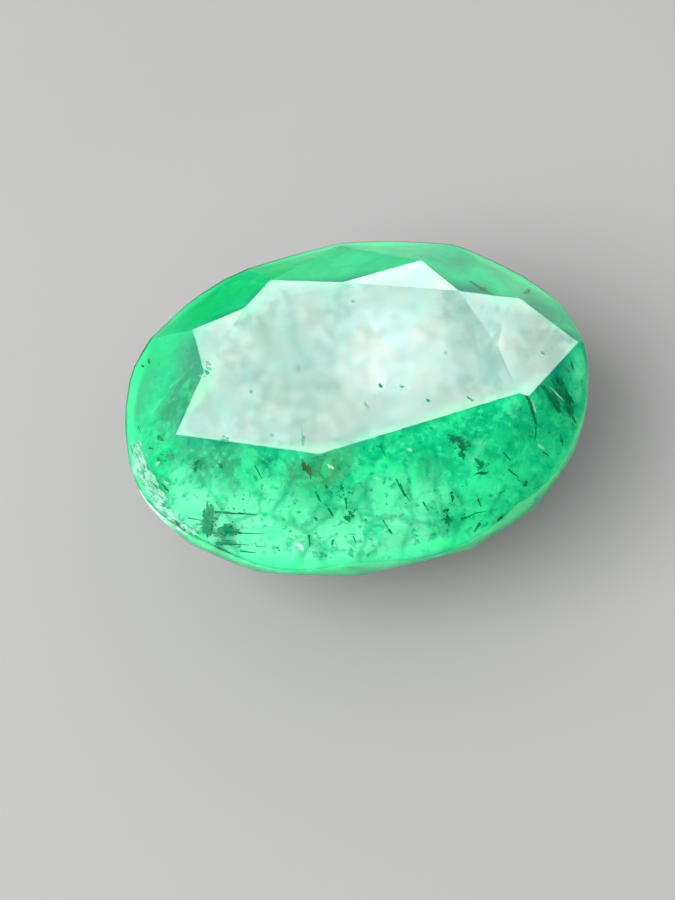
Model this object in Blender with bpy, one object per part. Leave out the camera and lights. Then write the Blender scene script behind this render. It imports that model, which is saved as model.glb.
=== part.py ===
"""A loose oval emerald, cut by hand: a crown of star, main and break facets around
a flat table, a narrow girdle, and a stepped pavilion that ends in a flat culet.

The stone is made as a cutter makes it. An oval preform is ground flat by flat, and
every facet is one plane. The culet rests on z = 0 and the table faces +Z. The long
axis lies along X, and -Y is the side that shows most crown in the photograph.
"""

import math
from collections import namedtuple

import bmesh
import bpy
from mathutils import Vector
from mathutils.geometry import intersect_plane_plane, intersect_line_plane

MM = 0.001

# Driving dimensions of the oval and of the heights above and below its girdle
LENGTH = 10.0 * MM
WIDTH = 8.2 * MM
CROWN_HEIGHT = 1.25 * MM
GIRDLE_THICKNESS = 0.39 * MM
PAVILION_DEPTH = 3.36 * MM
GIRDLE_TOP = PAVILION_DEPTH + GIRDLE_THICKNESS
TABLE_TOP = GIRDLE_TOP + CROWN_HEIGHT

# The girdle was ground by eye, so its outline strays a little from the true ellipse.
# It runs through these guide points: the angle round the oval in degrees, and the
# reach as a share of the ellipse's. Its curve is made of short flats.
GIRDLE_FLATS = 72
GIRDLE_GUIDES = [
    (1, 1.007), (13, 1.007), (27, 1.026), (41, 1.050), (55, 1.036), (69, 1.031),
    (83, 1.037), (99, 1.009), (119, 1.003), (133, 1.037), (147, 1.009), (161, 1.030),
    (173, 1.006), (188, 0.999), (207, 1.023), (220, 1.021), (236, 1.023), (252, 1.020),
    (271, 0.981), (289, 1.005), (307, 1.014), (320, 1.010), (332, 0.999), (347, 0.999),
]

# One row for each corner of the table, anticlockwise from the right-hand end. The
# corner is in millimetres from the oval's centre. A main facet runs down from it, in
# a direction and at a slope in degrees, to a tip near the girdle at tip_angle. The
# star facet lies between this corner and the next, at star_slope, and the two break
# facets under the star's tip meet the girdle rim_lift millimetres above its level.
Corner = namedtuple("Corner", "x y direction slope tip_angle star_slope rim_lift")
TABLE_CORNERS = [
    Corner(3.15, -0.07, 15.6, 23.2, 5, 20.4, 0.06),
    Corner(2.51, 1.46, 56, 33, 56, 21, 0.03),
    Corner(0.06, 2.04, 90, 31, 91, 21, 0.03),
    Corner(-2.10, 1.63, 123, 33, 124, 19, 0.05),
    Corner(-2.96, 0.10, 173, 34, 177, 19, 0.0),
    Corner(-2.47, -1.66, 224, 35, 225, 19, 0.08),
    Corner(-0.60, -2.18, 268, 33, 268, 17, 0.05),
    Corner(3.48, -1.23, 305, 31, 310, 23.9, 0.10),
]

# A main facet's tip stops at this share of the way from the axis to the girdle
TIP_REACH = 0.96

# The pavilion's steps, from the girdle down: the slope of the step in degrees, and
# how deep below the girdle it starts
PAVILION_SIDES = 16
PAVILION_STEPS = [
    (60, 0.0 * MM),
    (47, 1.15 * MM),
    (37, 2.35 * MM),
]

# Distances under this count as lying on the plane that is being ground
SNAP = 0.0002 * MM

# The stone's own look
EMERALD_GREEN = (0.09, 0.62, 0.30, 1.0)
POLISH_ROUGHNESS = 0.06
EMERALD_IOR = 1.577
CLARITY = 0.6


def on_oval(angle, reach, height):
    """A point of the oval at an angle in degrees, at a share of the ellipse's reach."""
    turn = math.radians(angle)
    return Vector((
        math.cos(turn) * reach * LENGTH / 2,
        math.sin(turn) * reach * WIDTH / 2,
        height,
    ))


def girdle_reach(angle):
    """How far the girdle reaches at an angle, on a smooth line through its guide points."""
    count = len(GIRDLE_GUIDES)
    angle = (angle - GIRDLE_GUIDES[0][0]) % 360 + GIRDLE_GUIDES[0][0]
    index = max(i for i in range(count) if GIRDLE_GUIDES[i][0] <= angle)
    before, start, end, after = (GIRDLE_GUIDES[(index + step) % count] for step in (-1, 0, 1, 2))
    share = (angle - start[0]) / ((end[0] - start[0]) % 360)
    lean_in = (end[1] - before[1]) / 2
    lean_out = (after[1] - start[1]) / 2
    return (
        start[1] * (1 + 2 * share) * (1 - share) ** 2
        + lean_in * share * (1 - share) ** 2
        + end[1] * share ** 2 * (3 - 2 * share)
        - lean_out * share ** 2 * (1 - share)
    )


def facing(direction, slope):
    """The outward normal of a facet that faces a direction and slopes off the level."""
    turn = math.radians(direction)
    lean = math.radians(slope)
    return Vector((
        math.cos(turn) * math.sin(lean),
        math.sin(turn) * math.sin(lean),
        math.cos(lean),
    ))


def meeting_point(first, second, third):
    """The one point that three facets share. Each facet is a point and a normal."""
    on_line, along = intersect_plane_plane(*first, *second)
    return intersect_line_plane(on_line, on_line + along, *third)


def grind(stone, point, normal):
    """Grind one facet: take off all that stands outside the plane and close the cut."""
    whole = stone.verts[:] + stone.edges[:] + stone.faces[:]
    cut = bmesh.ops.bisect_plane(
        stone, geom=whole, dist=SNAP, plane_co=point, plane_no=normal, clear_outer=True
    )
    rim = [item for item in cut["geom_cut"] if isinstance(item, bmesh.types.BMEdge)]
    open_rim = [edge for edge in rim if len(edge.link_faces) == 1]
    if open_rim:
        bmesh.ops.holes_fill(stone, edges=open_rim, sides=0)


def make_preform():
    """The oval blank: the girdle's outline, extruded from the culet to the table."""
    stone = bmesh.new()
    angles = [flat * 360 / GIRDLE_FLATS for flat in range(GIRDLE_FLATS)]
    outline = [stone.verts.new(on_oval(angle, girdle_reach(angle), 0.0)) for angle in angles]
    base = stone.faces.new(outline)
    raised = bmesh.ops.extrude_face_region(stone, geom=[base])
    top = [item for item in raised["geom"] if isinstance(item, bmesh.types.BMVert)]
    bmesh.ops.translate(stone, verts=top, vec=(0.0, 0.0, TABLE_TOP))
    return stone


def main_facet(corner):
    """The plane of the main facet below a table corner."""
    point = Vector((corner.x * MM, corner.y * MM, TABLE_TOP))
    return point, facing(corner.direction, corner.slope)


def star_facet(corner, following):
    """The plane of the star facet that tips down from the edge between two corners."""
    start = Vector((corner.x * MM, corner.y * MM, TABLE_TOP))
    end = Vector((following.x * MM, following.y * MM, TABLE_TOP))
    edge = end - start
    outward = math.degrees(math.atan2(-edge.x, edge.y))
    return start, facing(outward, corner.star_slope)


def main_tip(corner):
    """The low tip of a main facet, on the facet's plane and close to the girdle."""
    reach = girdle_reach(corner.tip_angle) * TIP_REACH
    above = on_oval(corner.tip_angle, reach, TABLE_TOP)
    below = on_oval(corner.tip_angle, reach, 0.0)
    return intersect_line_plane(above, below, *main_facet(corner))


def oval_angle(point):
    """The angle round the oval, in degrees, at which a point lies."""
    return math.degrees(math.atan2(point.y / WIDTH, point.x / LENGTH))


def plane_through(first, second, third):
    """The plane through three points, with its normal pointing up and out."""
    normal = (second - first).cross(third - first).normalized()
    if normal.z < 0:
        normal.negate()
    return first, normal


def cut_crown(stone):
    """Grind a star and a main at each corner, then two breaks beside each star's tip."""
    count = len(TABLE_CORNERS)
    for index, corner in enumerate(TABLE_CORNERS):
        following = TABLE_CORNERS[(index + 1) % count]
        grind(stone, *star_facet(corner, following))
        grind(stone, *main_facet(corner))
    for index, corner in enumerate(TABLE_CORNERS):
        following = TABLE_CORNERS[(index + 1) % count]
        star_tip = meeting_point(
            star_facet(corner, following), main_facet(corner), main_facet(following)
        )
        angle = oval_angle(star_tip)
        rim = on_oval(angle, girdle_reach(angle), GIRDLE_TOP + corner.rim_lift * MM)
        grind(stone, *plane_through(star_tip, main_tip(corner), rim))
        grind(stone, *plane_through(star_tip, main_tip(following), rim))


def cut_pavilion(stone):
    """Grind each step of the pavilion as a ring of flats that face round the oval."""
    inset = 0.0
    previous_depth = 0.0
    previous_slope = 90.0
    for slope, depth in PAVILION_STEPS:
        inset += (depth - previous_depth) / math.tan(math.radians(previous_slope))
        previous_depth = depth
        previous_slope = slope
        for side in range(PAVILION_SIDES):
            angle = (side + 0.5) * 360 / PAVILION_SIDES
            turn = math.radians(angle)
            outward = Vector((math.cos(turn) * WIDTH, math.sin(turn) * LENGTH, 0.0)).normalized()
            rim = on_oval(angle, girdle_reach(angle), PAVILION_DEPTH - depth)
            normal = facing(math.degrees(math.atan2(outward.y, outward.x)), slope)
            normal.z = -normal.z
            grind(stone, rim - outward * inset, normal)


def centre_over_origin(stone):
    """Slide the stone so that the middle of its box stands over the origin."""
    all_x = [vert.co.x for vert in stone.verts]
    all_y = [vert.co.y for vert in stone.verts]
    middle = Vector(((min(all_x) + max(all_x)) / 2, (min(all_y) + max(all_y)) / 2, 0.0))
    bmesh.ops.translate(stone, verts=stone.verts[:], vec=-middle)


def make_material():
    """Green, included emerald: polished, and only partly clear."""
    material = bpy.data.materials.new("emerald")
    material.use_nodes = True
    shader = material.node_tree.nodes["Principled BSDF"]
    shader.inputs["Base Color"].default_value = EMERALD_GREEN
    shader.inputs["Metallic"].default_value = 0.0
    shader.inputs["Roughness"].default_value = POLISH_ROUGHNESS
    shader.inputs["IOR"].default_value = EMERALD_IOR
    shader.inputs["Transmission Weight"].default_value = CLARITY
    material.diffuse_color = EMERALD_GREEN
    return material


def make_emerald():
    """Cut the stone and place it in the scene as one object."""
    stone = make_preform()
    cut_crown(stone)
    cut_pavilion(stone)
    centre_over_origin(stone)
    bmesh.ops.recalc_face_normals(stone, faces=stone.faces[:])
    mesh = bpy.data.meshes.new("emerald")
    stone.to_mesh(mesh)
    stone.free()
    mesh.materials.append(make_material())
    emerald = bpy.data.objects.new("emerald", mesh)
    bpy.context.scene.collection.objects.link(emerald)
    return emerald


def main():
    for old in list(bpy.data.objects):
        bpy.data.objects.remove(old, do_unlink=True)
    make_emerald()


main()
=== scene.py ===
"""A loose oval-cut emerald, finished over its solid.

The stone is a ground and polished crystal, milky rather than clear, so light glows
inside it while needles, flecks, stains and veils show through its facets. The table
and the star facets throw back the light of a tall softbox on the far side.

The file is laid out as an add-on: each group of pieces is made by one operator, and
the panel in the 3D view's sidebar lists them with the values that can be changed.
"""

import math
import random
from collections import namedtuple

import bmesh
import bpy
from bpy.props import FloatProperty, FloatVectorProperty, IntProperty, PointerProperty
from mathutils import Matrix, Vector, noise
from mathutils.bvhtree import BVHTree


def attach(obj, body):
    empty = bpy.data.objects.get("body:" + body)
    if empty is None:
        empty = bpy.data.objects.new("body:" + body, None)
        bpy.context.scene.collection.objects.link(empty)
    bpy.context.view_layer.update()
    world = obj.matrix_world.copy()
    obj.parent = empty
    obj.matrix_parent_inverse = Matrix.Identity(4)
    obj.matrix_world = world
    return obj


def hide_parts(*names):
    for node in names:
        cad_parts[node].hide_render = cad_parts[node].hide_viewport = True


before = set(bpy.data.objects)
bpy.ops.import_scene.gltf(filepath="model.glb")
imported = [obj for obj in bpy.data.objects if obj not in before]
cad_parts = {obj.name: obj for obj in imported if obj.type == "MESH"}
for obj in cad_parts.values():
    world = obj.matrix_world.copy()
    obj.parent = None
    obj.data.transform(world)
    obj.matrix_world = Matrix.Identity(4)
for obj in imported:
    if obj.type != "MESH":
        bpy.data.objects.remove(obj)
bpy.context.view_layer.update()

bl_info = {
    "name": "Cut Oval Emerald",
    "version": (1, 0, 0),
    "blender": (4, 5, 0),
    "location": "View3D > Sidebar > Emerald",
    "description": "Finishes a loose oval-cut emerald with polish, frosted girdle and inclusions",
    "category": "Add Mesh",
}

MM = 0.001

# The photograph's size in pixels, and the view that it was taken from: the point
# looked at in millimetres, then azimuth, elevation and roll in degrees
IMAGE_WIDTH = 675
IMAGE_HEIGHT = 900
LOOK_AT = Vector((-0.379, -1.465, 3.75)) * MM
VIEW_AZIMUTH = 9.222
VIEW_ELEVATION = 58.519
VIEW_ROLL = -13.706
VIEW_DISTANCE = 29.354 * MM
LENS = 56.0
SENSOR = 36.0

# Optics and heights of the stone
EMERALD_IOR = 1.577
GIRDLE_MIDDLE = 3.56 * MM
RIM_REACH = 0.9 * MM
MERGE_WITHIN = 0.02 * MM
SAME_FACET = math.radians(0.6)

# The middle of the milky core, and the least skin that covers it
CORE_CENTRE = Vector((0.0, 0.0, 2.7)) * MM
LEAST_SKIN = 0.11 * MM

# What the clear skin takes from light, how far each colour spreads in the milky body,
# and the girdle's palest scrapes
ABSORPTION_COLOUR = (0.10, 0.93, 0.68, 1.0)
ABSORPTION_DENSITY = 300.0
GLOW_SPREAD = (0.35, 1.0, 0.6)
SCRAPED_WHITE = (0.62, 0.92, 0.80)

# The mineral flakes, and half the oval's length and width
FLAKE_THICKNESS = 0.012 * MM
MINERALS = ("dark", "olive", "rust", "pale", "white", "dust", "frost")
HALF_LENGTH = 5.0 * MM
HALF_WIDTH = 4.1 * MM

# How the shader nodes are spread out in the editor
NODE_GAP = 260
NODES_IN_COLUMN = 6

# How far the edges of the core's zones stray
ASTRAY = 0.5 * MM

# Depth at which the marks on the milky core are placed
CORE_DEPTH = 0.45 * MM


def colour_setting(name, description, default):
    """A colour that the panel can change."""
    return FloatVectorProperty(
        name=name, description=description, default=default, min=0.0, max=1.0, subtype="COLOR"
    )


def length_setting(name, description, default):
    """A small length that the panel can change."""
    return FloatProperty(
        name=name, description=description, default=default, min=0.0, unit="LENGTH", precision=6
    )


class StoneSettings(bpy.types.PropertyGroup):
    """Sizes and colours of the cut stone."""

    edge_wear: length_setting("Edge wear", "How far the worn facet edges are rounded", 0.014 * MM)
    rim_wear: length_setting(
        "Rim wear", "How far the frosted rims of the girdle are rounded", 0.045 * MM
    )
    mid_green: colour_setting("Mid green", "Most of the stone's body", (0.07, 0.70, 0.39))
    deep_green: colour_setting("Deep green", "The richer zones of the crystal", (0.0, 0.54, 0.31))
    mint: colour_setting(
        "Mint", "Milky zones, where fine veils scatter the light", (0.53, 0.91, 0.74)
    )
    pale_veil: colour_setting(
        "Pale veil", "Wisps that stand out lightest in the milky zones", (0.50, 0.88, 0.66)
    )
    bright_green: colour_setting(
        "Bright green", "The lighter half of the fine mottling", (0.09, 0.86, 0.47)
    )
    vein: colour_setting(
        "Vein green", "Seams and pits, the darkest parts of the mottling", (0.0, 0.36, 0.21)
    )
    vivid: colour_setting("Vivid green", "Pure green zones of the far side", (0.012, 0.66, 0.27))
    teal: colour_setting("Teal", "Small cool spots", (0.008, 0.32, 0.24))
    olive: colour_setting("Olive", "Zones stained by iron", (0.22, 0.30, 0.16))
    sallow: colour_setting("Sallow green", "Greyer zones at the stone's ends", (0.12, 0.33, 0.26))
    # Painted light: the brighter green given to a band of the core at girdle height, standing in
    # for the light that the thin rim takes in
    painted_rim_light: colour_setting(
        "Rim glow",
        "Brighter green of the thin rim, which takes in light from all round",
        (0.12, 0.96, 0.52),
    )
    # Painted shade: a darker, cooler green that stands in for the shade and depth seen through the
    # table
    window: colour_setting(
        "Window", "The cooler depth that is seen through the table", (0.006, 0.26, 0.215)
    )
    rim_green: colour_setting(
        "Rim green", "The girdle where it is least scraped", (0.28, 0.94, 0.62)
    )
    frost: colour_setting("Frost", "The unpolished girdle", (0.46, 0.97, 0.74))
    skin_green: colour_setting(
        "Skin green",
        "Tint of the clear skin between the polished surface and the milky core",
        (0.50, 0.97, 0.78),
    )
    skin_mint: colour_setting("Skin mint", "Second tint of the clear skin", (0.66, 0.99, 0.86))
    skin: length_setting(
        "Skin", "How deep the milky core lies under the polished surface", 0.30 * MM
    )
    clarity: FloatProperty(
        name="Clarity",
        description="How much of the light passes through the polished surface",
        default=1.0,
        min=0.0,
        max=1.0,
        subtype="FACTOR",
    )
    glow: length_setting("Glow", "How far light spreads inside the milky body", 0.16 * MM)


class InclusionSettings(bpy.types.PropertyGroup):
    """Colours and numbers of what is caught inside the stone."""

    dark: colour_setting(
        "Dark inclusions", "Needles, flecks and the clusters they form", (0.0, 0.15, 0.075)
    )
    dark_second: colour_setting(
        "Dark inclusions, second", "Lighter parts of the dark inclusions", (0.004, 0.27, 0.14)
    )
    olive: colour_setting(
        "Olive inclusions", "Feathery patches of olive green mineral", (0.09, 0.33, 0.21)
    )
    stain: colour_setting(
        "Iron stain", "Brown stain that has crept along a fissure", (0.05, 0.115, 0.036)
    )
    stain_second: colour_setting(
        "Iron stain, second", "Lighter parts of the stain", (0.07, 0.19, 0.065)
    )
    pale_second: colour_setting(
        "Pale veils, second", "Greener parts of the healed fissures", (0.42, 0.74, 0.56)
    )
    pale: colour_setting("Pale veils", "Healed fissures full of tiny bubbles", (0.62, 0.78, 0.68))
    scattered: IntProperty(
        name="Scattered flecks",
        description="Number of fine flecks spread through the crown",
        default=170,
        min=0,
    )
    hidden: IntProperty(
        name="Pavilion flecks",
        description="Number of flecks spread through the pavilion",
        default=170,
        min=0,
    )
    seed: IntProperty(
        name="Seed",
        description="Start of the random draw for the scattered flecks",
        default=11,
    )


class StageSettings(bpy.types.PropertyGroup):
    """Floor and studio light."""

    floor: colour_setting("Floor", "The plain pale floor", (0.235, 0.235, 0.232))
    fill: FloatProperty(
        name="Fill",
        description="Strength of the even light all round",
        default=1.0,
        min=0.0,
    )
    key_power: FloatProperty(
        name="Key light",
        description="Power of the soft light over the near side",
        default=0.42,
        min=0.0,
        unit="POWER",
    )
    mirror_strength: FloatProperty(
        name="Mirror panel",
        description="Brightness of the far panel that the table reflects",
        default=9.6,
        min=0.0,
    )


def camera_axes():
    """Directions of the camera: to its right, up, and back from the stone."""
    turn = math.radians(VIEW_AZIMUTH)
    lift = math.radians(VIEW_ELEVATION)
    roll = math.radians(VIEW_ROLL)
    back = Vector((
        math.sin(turn) * math.cos(lift),
        -math.cos(turn) * math.cos(lift),
        math.sin(lift),
    ))
    level = (-back).cross(Vector((0.0, 0.0, 1.0))).normalized()
    upright = level.cross(-back)
    right = math.cos(roll) * level + math.sin(roll) * upright
    up = -math.sin(roll) * level + math.cos(roll) * upright
    return right, up, back


def sight_line(across, down):
    """Start and direction of the sight line through a pixel of the photograph."""
    right, up, back = camera_axes()
    focal = LENS / SENSOR * IMAGE_HEIGHT
    direction = (
        right * (across - IMAGE_WIDTH / 2) - up * (down - IMAGE_HEIGHT / 2) - back * focal
    )
    return LOOK_AT + back * VIEW_DISTANCE, direction.normalized()


def bent_inwards(direction, normal):
    """The direction that a sight line takes once it has entered the stone."""
    ratio = 1.0 / EMERALD_IOR
    cosine = -direction.dot(normal)
    inner = math.sqrt(1.0 - ratio * ratio * (1.0 - cosine * cosine))
    return (direction * ratio + normal * (ratio * cosine - inner)).normalized()


def stone_surface():
    """A search tree of the solid's surface, for finding places on it."""
    solid = bmesh.new()
    solid.from_mesh(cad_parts["emerald"].data)
    tree = BVHTree.FromBMesh(solid)
    solid.free()
    return tree


def place_in_stone(tree, across, down, depth):
    """The point seen at a pixel, as deep inside as depth says, and its facet's normal."""
    start, direction = sight_line(across, down)
    point, normal, _, _ = tree.ray_cast(start, direction)
    if point is None:
        raise RuntimeError(f"no stone at {across}, {down}")
    return point + bent_inwards(direction, normal) * depth, normal


def new_object(name, mesh_work, materials, smooth=False):
    """Turn a bmesh into a named object of the scene."""
    mesh = bpy.data.meshes.new(name)
    mesh_work.to_mesh(mesh)
    mesh_work.free()
    for material in materials:
        mesh.materials.append(material)
    for face in mesh.polygons:
        face.use_smooth = smooth
    made = bpy.data.objects.new(name, mesh)
    bpy.context.scene.collection.objects.link(made)
    return made


def set_inputs(node, **inputs):
    """Set inputs of a node by their names, with underscores for the spaces."""
    for key, value in inputs.items():
        node.inputs[key.replace("_", " ")].default_value = value


def add_node(tree, kind, **inputs):
    """A shader node in the next place of the editor, with some of its inputs set."""
    made = tree.nodes.new(kind)
    column, row = divmod(len(tree.nodes), NODES_IN_COLUMN)
    made.location = (column * NODE_GAP, -row * NODE_GAP)
    set_inputs(made, **inputs)
    return made


def feed(tree, socket, value):
    """Link a socket to another, or set it to a number or a colour."""
    if isinstance(value, bpy.types.NodeSocket):
        tree.links.new(value, socket)
    elif isinstance(value, (int, float)):
        socket.default_value = value
    else:
        socket.default_value = (*value, 1.0)


def new_material(name):
    """A new material, with its node tree, its shader and the object's coordinates."""
    material = bpy.data.materials.new(name)
    material.use_nodes = True
    tree = material.node_tree
    coordinates = add_node(tree, "ShaderNodeTexCoord").outputs["Object"]
    return material, tree, tree.nodes["Principled BSDF"], coordinates


def calculated(tree, operation, *values, clamp=False):
    """What a sum, a product or the like makes of sockets and numbers."""
    made = add_node(tree, "ShaderNodeMath")
    made.operation = operation
    made.use_clamp = clamp
    for socket, value in zip(made.inputs, values):
        feed(tree, socket, value)
    return made.outputs[0]


def product(tree, first, second):
    """One value times another, which may be a socket or a number."""
    return calculated(tree, "MULTIPLY", first, second)


def mixed(tree, first, second, share):
    """The colour between two colours or sockets, by a share that is a socket."""
    mix = add_node(tree, "ShaderNodeMix")
    mix.data_type = "RGBA"
    feed(tree, mix.inputs[6], first)
    feed(tree, mix.inputs[7], second)
    feed(tree, mix.inputs[0], share)
    return mix.outputs[2]


def remapped(tree, value, low, high, to_low=0.0, to_high=1.0):
    """A value moved smoothly from one range to another."""
    step = add_node(
        tree, "ShaderNodeMapRange", From_Min=low, From_Max=high, To_Min=to_low, To_Max=to_high
    )
    step.interpolation_type = "SMOOTHSTEP"
    tree.links.new(value, step.inputs["Value"])
    return step.outputs["Result"]


def noise_of(tree, coordinates, per_mm, detail, distortion=0.0):
    """Noise with so many waves to the millimetre."""
    made = add_node(
        tree, "ShaderNodeTexNoise",
        Scale=per_mm / MM, Detail=detail, Roughness=0.6, Distortion=distortion,
    )
    tree.links.new(coordinates, made.inputs["Vector"])
    return made.outputs["Fac"]


def patch_of(tree, coordinates, centre, reach, firm=0.25):
    """One in the firm middle of a soft round patch, and nothing beyond its reach."""
    offset = add_node(tree, "ShaderNodeVectorMath")
    offset.operation = "DISTANCE"
    offset.inputs[1].default_value = centre
    tree.links.new(coordinates, offset.inputs[0])
    return remapped(tree, offset.outputs["Value"], reach * firm, reach, 1.0, 0.0)


# Soft zones of the body, each seen at a pixel of the photograph: how far the zone
# reaches in millimetres, which of the stone's colours it has, and how strongly. The
# mint zones at 380, 562, at 330, 568 and at 430, 550 are painted light along the near
# bottom rim, and the zone at 188, 388 is painted shade
ZONES = [
    (200, 498, 1.1, "mint", 0.85), (262, 528, 1.4, "mint", 0.85), (215, 550, 1.2, "mint", 0.80),
    (325, 552, 1.4, "mint", 0.75), (398, 545, 1.3, "mint", 0.55), (435, 495, 0.6, "mint", 0.60),
    (475, 545, 0.8, "mint", 0.50), (180, 472, 0.5, "mint", 0.50),
    (505, 425, 1.7, "deep_green", 0.80), (430, 435, 1.2, "deep_green", 0.70),
    (372, 446, 0.8, "deep_green", 0.60), (548, 470, 1.0, "deep_green", 0.40),
    (560, 398, 0.7, "deep_green", 0.85), (160, 445, 0.7, "deep_green", 0.45),
    (134, 462, 0.45, "pale_veil", 0.6), (146, 486, 0.5, "pale_veil", 0.8),
    (160, 507, 0.45, "pale_veil", 0.9), (235, 460, 0.6, "sallow", 0.75),
    (138, 395, 1.0, "sallow", 0.60), (138, 420, 0.7, "sallow", 0.40),
    (185, 390, 0.6, "sallow", 0.70), (585, 375, 0.75, "mint", 0.45), (584, 395, 0.70, "mint", 0.45),
    (579, 425, 0.65, "mint", 0.35), (188, 388, 0.5, "window", 0.40),
    (525, 445, 0.8, "mid_green", 0.50), (540, 475, 0.7, "mid_green", 0.50),
    (500, 485, 0.7, "mid_green", 0.50), (230, 478, 0.6, "sallow", 0.60),
    (360, 480, 0.5, "sallow", 0.35), (345, 248, 0.8, "sallow", 0.40), (380, 562, 0.7, "mint", 0.50),
    (330, 568, 0.6, "mint", 0.50), (430, 550, 0.6, "mint", 0.50), (192, 372, 0.8, "sallow", 0.90),
    (178, 408, 0.8, "sallow", 0.90), (190, 440, 0.7, "sallow", 0.60),
    (207, 464, 0.7, "sallow", 0.80), (355, 470, 0.5, "deep_green", 0.50),
    (300, 470, 0.5, "sallow", 0.60), (400, 500, 0.8, "mint", 0.45), (366, 515, 0.9, "mint", 0.40),
    (425, 530, 0.8, "mint", 0.45), (455, 442, 0.22, "vein", 0.90), (463, 451, 0.20, "vein", 0.80),
    (482, 466, 0.20, "vein", 0.90), (447, 518, 0.24, "vein", 0.70), (345, 491, 0.22, "vein", 0.70),
    (331, 490, 0.16, "vein", 0.60), (402, 488, 0.18, "vein", 0.60), (228, 546, 0.26, "vein", 0.25),
    (209, 521, 0.30, "vein", 0.30), (226, 530, 0.28, "vein", 0.30), (197, 465, 0.20, "vein", 0.60),
    (532, 412, 0.20, "vein", 0.70), (552, 398, 0.35, "vein", 0.80), (570, 395, 0.30, "vein", 0.70),
    (481, 288, 0.25, "vein", 0.70), (190, 350, 0.7, "sallow", 0.70), (220, 300, 1.5, "vivid", 0.90),
    (290, 268, 1.2, "vivid", 0.60), (145, 370, 0.9, "vivid", 0.60), (325, 466, 0.55, "olive", 0.75),
    (298, 478, 0.5, "olive", 0.40), (350, 452, 0.45, "olive", 0.45),
    (430, 470, 0.5, "sallow", 0.40), (271, 463, 0.35, "teal", 0.90), (348, 515, 0.22, "teal", 0.85),
    (451, 540, 0.24, "teal", 0.80), (457, 476, 0.24, "teal", 0.60), (505, 500, 0.4, "teal", 0.50),
    (452, 262, 0.8, "sallow", 0.60), (498, 272, 0.6, "sallow", 0.60),
    (540, 315, 0.9, "sallow", 0.80), (482, 262, 0.3, "pale_veil", 0.50),
    (450, 255, 0.4, "pale_veil", 0.30),
]


# Painted shade: places under the polished table and stars where the core is given a
# darker, cooler green that stands in for the shade and depth seen through the table,
# each seen at a pixel of the photograph, and how far each reaches in millimetres
PAINTED_TABLE_SHADE = [
    (226, 338, 1.0), (268, 335, 1.0), (312, 335, 1.0), (357, 335, 1.0), (402, 335, 1.0),
    (447, 335, 1.0), (492, 340, 1.0), (535, 343, 0.8), (285, 304, 1.0), (325, 304, 1.0),
    (370, 298, 1.0), (418, 290, 1.0), (465, 308, 1.0), (520, 325, 0.9), (236, 385, 1.0),
    (278, 380, 1.0), (322, 380, 1.0), (367, 380, 1.0), (412, 372, 1.0), (457, 366, 1.0),
    (500, 358, 0.9), (222, 415, 0.8), (262, 412, 0.9), (305, 412, 1.0), (345, 405, 0.9),
    (390, 392, 0.9), (197, 423, 0.55), (232, 427, 0.65), (262, 430, 0.65),
    (292, 433, 0.65), (322, 436, 0.65), (350, 428, 0.65), (380, 418, 0.65),
    (410, 408, 0.65), (440, 398, 0.65), (470, 388, 0.65), (500, 379, 0.65),
    (528, 376, 0.6), (550, 358, 0.65), (563, 342, 0.5), (542, 368, 0.5),
]


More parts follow.
